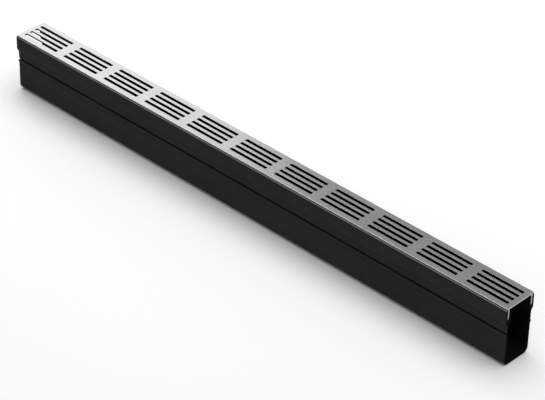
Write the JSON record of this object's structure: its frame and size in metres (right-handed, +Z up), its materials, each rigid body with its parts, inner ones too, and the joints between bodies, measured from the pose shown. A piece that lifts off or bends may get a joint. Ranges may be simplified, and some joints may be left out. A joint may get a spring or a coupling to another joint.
{
  "type": "channel drain",
  "caption": "Straight length of slim line drain: an open-ended plastic U channel with a slotted metal grate lying in its rim.",
  "frame": {"origin": "middle of the flat base, which is the lowest face of the channel", "axes": "+X along the drain, +Y across it, +Z up through the grate"},
  "size_m": [1, 0.058, 0.1],
  "materials": {
    "channel_plastic": "satin",
    "grate_metal": "satin"
  },
  "bodies": {
    "root": {"channel_body": "channel_plastic", "slotted_grate": "grate_metal"}
  },
  "joints": []
}
